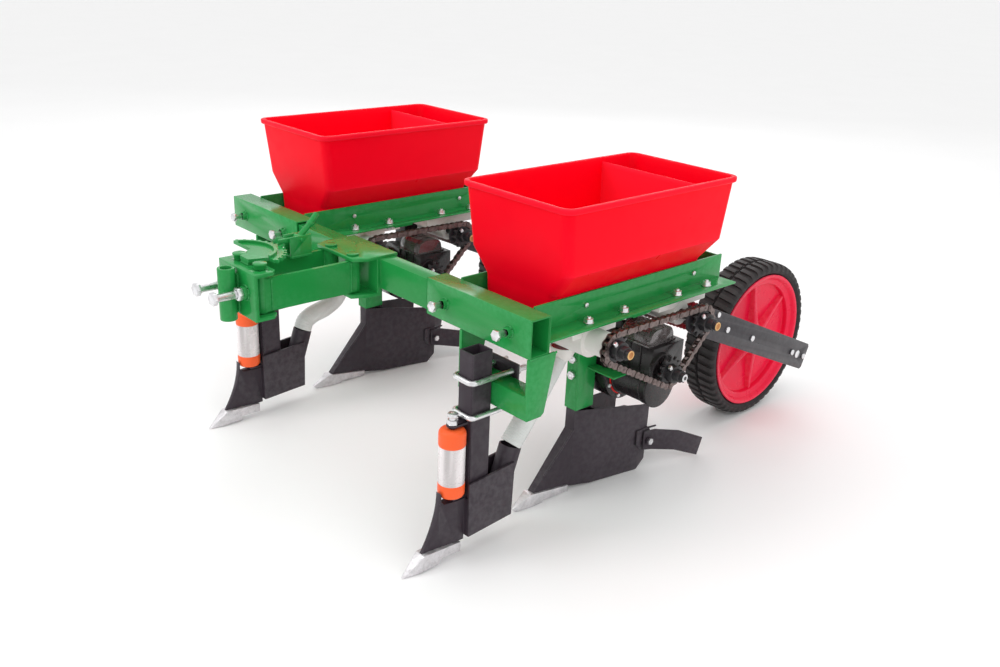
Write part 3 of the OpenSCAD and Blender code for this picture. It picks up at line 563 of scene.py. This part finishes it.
def chain_mesh(points, x):
    """Roller chain: figure-eight side plates, rollers and riveted pins."""
    s = Shape()
    pivots = chain_path(points, SPROCKET_R)
    n = len(pivots)
    for i in range(n):
        a, b = pivots[i], pivots[(i + 1) % n]
        d = (b - a)
        length = d.length
        d.normalize()
        up = Vector((-d.y, d.x))
        outer = i % 2 == 0
        rad = 6.6 if outer else 7.0
        outline = []
        for c, a0 in ((length, -90), (0.0, 90)):
            for k in range(7):
                t = math.radians(a0 + 180 * k / 6)
                outline.append((c + rad * math.cos(t), rad * math.sin(t)))
            outline.append((length / 2, rad * 0.72 if c else -rad * 0.72))
        for sx in (-1, 1):
            lo, hi = (5.1, 6.4) if outer else (3.7, 5.0)
            lo, hi = sx * lo, sx * hi

            def put(p, q, level, a=a, d=d, up=up):
                m = a + d * p + up * q
                return (x + level, m.x, m.y)

            s.prism(outline, min(lo, hi), max(lo, hi), put)
        s.lathe((x - 3.6, a.x, a.y), (1, 0, 0), [(0, 2.2), (0, 5.0), (7.2, 5.0), (7.2, 2.2)], n=12)
        s.lathe((x - 7.2, a.x, a.y), (1, 0, 0), [(0, 1.6), (0.5, 2.3), (13.9, 2.3), (14.4, 1.6)],
                n=10, caps=True)
    return s


def tyre_mesh():
    s = Shape()
    prof = [(-33, 168.3), (-36, 171), (-41, 175), (-43.4, 181), (-44, 186), (-43, 190.5), (-40, 193.6),
            (-36, 195), (-2.6, 195.6), (-1.8, 193.6), (1.8, 193.6), (2.6, 195.6), (36, 195), (40, 193.6),
            (43, 190.5), (44, 186), (43.4, 181), (41, 175), (36, 171), (33, 168.3), (20, 168.3), (-20, 168.3)]
    s.lathe((0, WHEEL[0], WHEEL[1]), (1, 0, 0), prof, n=128, closed=True)
    lugs = 54
    for side in (-1, 1):
        for k in range(lugs):
            a = TAU * (k + (0.25 if side > 0 else -0.25)) / lugs
            rings = []
            # (x, outer radius, inner radius, lean, half width in radians)
            for xx, ro, ri, lean in ((4.0, 199.6, 194, 0.000), (6.0, 200.0, 194, 0.002),
                                     (22, 199.9, 194, 0.012), (33, 199.2, 194, 0.022),
                                     (39, 197.4, 192, 0.026), (42.4, 194.0, 189, 0.028),
                                     (44.0, 189.0, 185, 0.029), (44.2, 184.5, 182.5, 0.029)):
                w = 0.034 * (1.0 if xx < 36 else 0.94)
                pts = []
                for rr, dw in ((ri, -w), (ro, -w * 0.86), (ro, w * 0.86), (ri, w)):
                    t = a + dw + lean * side
                    pts.append((side * xx, WHEEL[0] + rr * math.cos(t), WHEEL[1] + rr * math.sin(t)))
                rings.append(pts)
            s.rings(rings, caps=True)
    return s


def rim_mesh():
    s = Shape()
    c = (0, WHEEL[0], WHEEL[1])
    # barrel with its two outer beads, the stepped flange and the dished web
    prof = [(-33, 160), (-35, 166), (-33.5, 168.2), (33.5, 168.2), (37, 170.5), (41, 171.5), (43, 170),
            (43, 166), (41, 163), (36, 160), (33, 157.5), (31.5, 152), (31, 148), (29, 145.5), (24, 144.5),
            (18, 144), (16.5, 142), (15, 136), (14.5, 60), (16, 44), (22, 34), (22, 25), (6, 25), (6, 60),
            (8, 136), (8, 154), (-30, 156)]
    s.lathe(c, (1, 0, 0), prof, n=120, closed=True)
    for k in range(6):
        a = math.radians(90 + 7 + 60 * k)
        d, e = Vector((math.cos(a), math.sin(a))), Vector((-math.sin(a), math.cos(a)))
        rings = []
        for r, w, h in ((22, 15, 36), (34, 14, 36), (48, 12, 33), (80, 9.5, 29), (120, 7.5, 26),
                        (146, 6.5, 25)):
            pts = []
            for off, lev in ((-w, 13.5), (-w * 0.62, h - 1.2), (-w * 0.42, h), (w * 0.42, h),
                             (w * 0.62, h - 1.2), (w, 13.5)):
                p = Vector(WHEEL) + d * r + e * off
                pts.append((lev, p.x, p.y))
            rings.append(pts)
        s.rings(rings, caps=True)
        rings = []
        for r, w, h in ((22, 12, -12), (60, 9, -6), (120, 7, 0), (152, 6, 2)):
            pts = []
            for off, lev in ((-w, 9), (-w * 0.5, h), (w * 0.5, h), (w, 9)):
                p = Vector(WHEEL) + d * r + e * off
                pts.append((lev, p.x, p.y))
            rings.append(pts)
        s.rings(rings, caps=True)
    hub = [(-107, 10.4), (-107, 22), (-105, 24), (5, 24), (20, 26), (40, 25), (50, 23), (60, 22), (62, 20),
           (62, 10.4)]
    s.lathe(c, (1, 0, 0), hub, n=48, closed=True)
    return s


def wheel_sprocket(x, centre):
    s = Shape()
    n = 12
    outline = []
    for k in range(n):
        a = TAU * k / n
        for da, r in ((-0.19, 25.6), (-0.13, 27.2), (-0.055, 34.0),
                      (0.055, 34.0), (0.13, 27.2), (0.19, 25.6)):
            outline.append((r * math.cos(a + da), r * math.sin(a + da)))
    s.prism(outline, -3.0, 3.0, lambda a, b, h: (x + h, centre[0] + a, centre[1] + b))
    return s


def smooth_curve(points, n):
    """Smooth curve through points (Catmull-Rom), with n steps a span."""
    p = [Vector(q) for q in points]
    p = [p[0] * 2 - p[1]] + p + [p[-1] * 2 - p[-2]]
    out = []
    for i in range(1, len(p) - 2):
        for k in range(n):
            t = k / n
            out.append(0.5 * ((2 * p[i]) + (p[i + 1] - p[i - 1]) * t
                              + (2 * p[i - 1] - 5 * p[i] + 4 * p[i + 1] - p[i + 2]) * t * t
                              + (3 * p[i] - p[i - 1] - 3 * p[i + 1] + p[i + 2]) * t ** 3))
    out.append(p[-2])
    return out


def hose_mesh(bent):
    s = Shape()
    if bent:
        route = [(-30, 372), (-33, 340), (-40, 305), (-60, 272), (-94, 254), (-129, 245), (-152, 232),
                 (-160.6, 213.2)]
    else:
        route = [(-31, 373), (-60, 337), (-95, 294), (-130, 250.5), (-149, 227.5), (-160.6, 213.2)]
    route = smooth_curve([(OPENER_X, y, z) for y, z in route], 26)
    length = 0.0
    rings = []
    for i, p in enumerate(route):
        d = (route[min(i + 1, len(route) - 1)] - route[max(i - 1, 0)]).normalized()
        u = Vector((1, 0, 0))
        w = d.cross(u).normalized()
        if i:
            length += (p - route[i - 1]).length
        rr = 16.8 + 5.2 * min(1.0, length / 150)
        rr += 0.4 * math.sin(length * TAU / 5.2)
        rings.append([p + (u * math.cos(TAU * k / 40) + w * math.sin(TAU * k / 40)) * rr for k in range(40)])
    s.rings(rings, caps=True)
    # funnel that catches the fertilizer, with its rolled mouth
    foot, up = (OPENER_X, -28, 364), (0, 0.04, 1)
    s.lathe(foot, up, [(0, 17), (4, 20.5), (16, 24.5), (25, 26.4), (27, 27), (28.4, 26.2), (28, 24.6),
                       (20, 23)], n=40, mat=1)
    s.lathe(foot, up, [(24, 0.5), (24, 12), (25.4, 20), (25.0, 24.4)], n=40, mat=2)
    return s


def roller_mesh():
    s = Shape()
    c = (OPENER_X, -313, 0)
    up = (0, 0, 1)
    s.lathe(c, up, [(155.4, 7), (155, 9), (155.2, 20), (156.6, 24), (160, 26), (164, 26.5), (179, 26.5),
                    (182, 26.3), (183.2, 25.8), (183.2, 7)], n=48)
    s.lathe(c, up, [(262.6, 7), (262.6, 25.8), (264, 26.3), (267, 26.5), (285, 26.5), (290, 26),
                    (293.5, 24), (296.2, 20), (296.9, 14), (296.9, 7)], n=48)
    s.lathe(c, up, [(182.8, 7), (182.8, 25.4), (183.4, 25.9), (210, 25.9), (240, 25.9), (262.4, 25.9),
                    (263, 25.4), (263, 7)], n=48, mat=1)
    return s


def add_ring(s, x0, x1, centre, r_out, r_in, n, mat=0):
    """A turned ring across the row, its outer edges broken."""
    e = min(1.0, (x1 - x0) * 0.3)
    s.lathe((0, centre[0], centre[1]), (1, 0, 0),
            [(x0, r_in), (x0, r_out - e), (x0 + e, r_out), (x1 - e, r_out), (x1, r_out - e), (x1, r_in)],
            n=n, mat=mat, closed=True)


def meter_trim():
    """Gasket, flange rings, screws and ribs on the seed meter."""
    s = Shape()
    add_ring(s, 43.6, 46.2, METER, 50.5, 44, 56, mat=1)
    add_ring(s, 46.2, 51, METER, 48.2, 44, 56)
    add_ring(s, 118, 121, METER, 46.6, 44, 56)
    for a in (200, 250, 300, 340):
        y = METER[0] + 54 * math.cos(math.radians(a))
        z = METER[1] + 54 * math.sin(math.radians(a))
        s.lathe((44, y, z), (1, 0, 0), [(-1, 5), (3.4, 5), (4.4, 4), (4.4, 0.3)], n=6, mat=2)
    for a in (20, 80, 140, 200, 260, 320):
        y = SEED_SHAFT[0] + 28 * math.cos(math.radians(a))
        z = SEED_SHAFT[1] + 28 * math.sin(math.radians(a))
        s.lathe((150, y, z), (1, 0, 0), [(-1, 3.4), (1.8, 3.4), (2.6, 2.6), (2.6, 0.3)], n=8, mat=0)
    add_ring(s, 149.5, 152, SEED_SHAFT, 34.4, 31, 48)
    for k in range(3):
        s.prism([(0, 0), (0, 40), (2.4, 40), (2.4, 0)], 0, 60,
                lambda a, b, h, k=k: (50 + k * 28 + a, 132.6 if b else 129.8, 316 + h))
    return s


def vault(x, half, rise):
    """Outline of the hood across the row at x: a flattened arch."""
    pts = []
    for i in range(21):
        c, h = math.cos(math.pi * i / 20), math.sin(math.pi * i / 20)
        pts.append((x, 174 - half * math.copysign(abs(c) ** 0.62, c), 379 + rise * abs(h) ** 0.7))
    return pts


def hood_mesh():
    """Smoky vaulted hood with ribs, standing on a flange."""
    s = Shape()
    steps = ((46, 0.96), (48, 1.0), (70, 1.0), (86, 1.0), (102, 1.0), (124, 1.0), (126, 0.96))
    s.rings([vault(x, 39 * k, 34 * k) for x, k in steps], caps=True)
    s.prism([(44, 130), (128, 130), (128, 218), (44, 218)], 377.6, 381, lambda a, b, h: (a, b, h))
    for x in (66, 86, 106):
        s.rings([vault(x - 1, 39.6, 34.8), vault(x + 1, 39.6, 34.8)], caps=True)
    return s


def shaft_end(at_yz, x0, kind):
    s = Shape()
    y, z = at_yz
    if kind == "bolt":
        s.lathe((x0, y, z), (1, 0, 0), [(-0.5, 8.4), (0.5, 8.4), (1.0, 7.8), (1.0, 0.3)], n=28, mat=2)
        s.lathe((x0, y, z), (1, 0, 0), [(1.0, 4.2), (1.5, 4.2), (1.5, 0.3)], n=16, mat=0)
    else:
        s.lathe((x0, y, z), (1, 0, 0), [(-6, 8.9), (-0.2, 9.2), (0.6, 8.8), (0.6, 6.6), (0.0, 6.3),
                                        (0.0, 6.0)], n=28, mat=1)
        s.lathe((x0, y, z), (1, 0, 0), [(0.25, 6.4), (0.1, 4.0), (0.0, 0.3)], n=28, mat=3)
    return s


def coverer_pins():
    """Black split pins standing out of the hinge bracket."""
    s = Shape()
    for z, lean in ((124, 0.25), (84, -0.2)):
        s.lathe((50, 252, z), (0.55, 0.8, lean), [(0, 0.4), (0, 2.2), (22, 2.2), (24, 1.4), (24, 0.3)], n=10)
    return s


def wing_bolts():
    s = Shape()
    for sx in (-1, 1):
        s.lathe((sx * 70, 245, 100), (sx, 0, 0),
                [(0, 8.2), (3.4, 8.2), (4.2, 7.4), (4.4, 3.4), (4.0, 0.3)], n=6)
    return s


for row, x in ROWS.items():
    R, F = row + "_row", row + "_fertilizer_opener"
    dress(row + "_sleeve", GREEN, 3.0)
    dress(row + "_rails", GREEN, 1.0)
    dress(row + "_fasteners", [ZINC, BLACK], 0.8,
          pick=lambda a, b, c: 1 if abs(a - OPENER_X) < 40.5 and -190.5 < b < -184.5 and 299 < c < 407 else 0)
    dress(row + "_feed_boxes", WHITE, 1.6)
    dress(row + "_seed_meter", BLACKP, 1.6)
    dress(row + "_shank_bracket", GREEN, 1.6)
    dress(row + "_seed_opener", BLACK, 1.0)
    dress(row + "_seed_share", CAST, 1.2)
    dress(F, [BLACK, ZINC], 1.3,
          pick=lambda a, b, c: 1 if abs(b + 313) < 14 and c > 306.2 else 0)
    dress(row + "_fertilizer_share", CAST, 1.2)
    dress(row + "_fork", GREY, 1.2)
    dress(row + "_axle", ZINC, 1.0)
    dress(row + "_coverer", BLACK, 0.9)
    shafts = (("drive_shaft", DRIVE_SHAFT, "tube"), ("fertilizer_shaft", FERTILIZER_SHAFT, "tube"),
              ("seed_shaft", SEED_SHAFT, "bolt"))
    for k, (cy, cz), _ in shafts:
        dress(f"{row}_{k}", [SHAFT, ZINC], 0.9,
              pick=lambda a, b, c, cy=cy, cz=cz: 1 if a > 172.5 and math.hypot(b - cy, c - cz) > 19.4 else 0)
    hopper_mesh().piece(row + "_hopper_shown", RED, R, "red_plastic", [row + "_hopper"], x, smooth=24)
    feed_chain = chain_mesh([FERTILIZER_SHAFT, DRIVE_SHAFT, SEED_SHAFT], 168)
    feed_chain.piece(row + "_feed_chain_shown", CHAIN, R, "chain_steel", [row + "_feed_chain"], x, smooth=30)
    wheel_chain = chain_mesh([DRIVE_SHAFT, WHEEL], -100)
    wheel_chain.piece(row + "_wheel_chain_shown", CHAIN, row + "_fork", "chain_steel",
                      [row + "_wheel_chain"], x, smooth=30)
    tyre_mesh().piece(row + "_tyre_shown", RUBBER, row + "_wheel", "tyre_rubber", [row + "_tyre"], x,
                      smooth=34)
    rim_mesh().piece(row + "_rim_shown", RIM_RED, row + "_wheel", "rim_paint", [row + "_rim"], x, smooth=34)
    wheel_sprocket(-100, WHEEL).piece(row + "_wheel_sprocket", SHAFT, row + "_wheel", "chain_steel", x=x)
    # the hose, funnel and all, is baked in place and attached to no body; the row, the opener and the two end
    # points in the tuple are not used
    hose_ends = (R, F, at(x + OPENER_X, -30, 366), at(x + OPENER_X, -149, 227.5))
    hose_mesh(row == "left").piece(row + "_hose_shown", [HOSE, WHITE, RED2], hose_ends, "hose_plastic",
                                   [row + "_hose"], x, smooth=50)
    roller_mesh().piece(row + "_roller_shown", [ORANGE, TUBE], row + "_roller", "orange_plastic",
                        [row + "_roller"], x, smooth=40)
    meter_trim().piece(row + "_meter_trim", [BLACKP, RED2, ZINC], R, "black_plastic", x=x)
    hood_mesh().piece(row + "_hood_shown", SMOKY, R, "smoky_plastic", [row + "_meter_window"], x, smooth=40)
    for k, c, kind in shafts:
        shaft_end(c, 208, kind).piece(f"{row}_{k}_end", [SHAFT, BRASS, ZINC, RUST], f"{row}_{k}",
                                      "chain_steel", x=x)
    wing_bolts().piece(row + "_coverer_bolts", ZINC, row + "_coverer", "zinc", x=x)
    coverer_pins().piece(row + "_coverer_pins", BLACK, R, "black_paint", x=x)
    weld(F + "_weld_front", [(20, -290.5, 64), (20, -290.5, 143)], F, x, 2.2, BLACK, "black_paint")
    weld(row + "_opener_weld", [(9.5, -34, 83), (12.5, 20, 140), (13.5, 45, 170)], R, x, 2.2, BLACK,
         "black_paint")
    weld(row + "_bracket_weld_near", [(148.6, -234, 453), (148.6, -168, 453)], R, x, 2.0)
    weld(row + "_bracket_weld_box", [(139.4, -236, 379), (139.4, -190, 379)], R, x, 1.8)
    for cx in (-91, 91):
        weld(f"{row}_clamp_weld_{'in' if cx < 0 else 'out'}",
             [(cx + 12 * math.cos(TAU * k / 10), -235.4, 490 + 12 * math.sin(TAU * k / 10))
              for k in range(11)], R, x, 1.9)


# ---------------------------------------------------------------- floor and light
def stage():
    me = bpy.data.meshes.new("floor")
    reach = 27000
    # the planter stands on its share tips and wheels, so the ground tilts a little in this frame
    pts = [at(x, y, 13.6 + 0.01526 * (y + 425))
           for x, y in ((-reach, -reach), (reach, -reach), (reach, reach), (-reach, reach))]
    me.from_pydata(pts, [], [(0, 1, 2, 3)])
    ob = bpy.data.objects.new("floor", me)
    bpy.context.collection.objects.link(ob)
    m = Nodes("floor_paper")
    m.to(m.mix(m.noise(3, 2), (0.93, 0.93, 0.93), (0.96, 0.96, 0.96)), "Base Color")
    m.set(Roughness=0.85)
    me.materials.append(m.mat)
    w = bpy.data.worlds.new("studio")
    bpy.context.scene.world = w
    w.use_nodes = True
    w.node_tree.nodes["Background"].inputs[0].default_value = (1, 1, 1, 1)
    w.node_tree.nodes["Background"].inputs[1].default_value = 0.95

    def area(name, loc, aim, size, power):
        li = bpy.data.lights.new(name, "AREA")
        li.shape = "RECTANGLE"
        li.size, li.size_y = size
        li.energy = power
        o = bpy.data.objects.new(name, li)
        bpy.context.collection.objects.link(o)
        o.location = at(*loc)
        o.rotation_mode = "QUATERNION"
        o.rotation_quaternion = (at(*aim) - at(*loc)).to_track_quat("-Z", "Y")

    area("key", (-1200, -2600, 2900), (0, 0, 350), (1.5, 1.5), 30)
    area("top", (300, 300, 3200), (0, 0, 300), (2.0, 2.0), 16)
    area("side", (2900, 300, 1500), (200, 100, 300), (1.6, 1.6), 5)
    area("back", (-2700, 2900, 2300), (0, -100, 450), (3.4, 1.2), 22)


stage()
bpy.context.scene.view_settings.view_transform = "Standard"
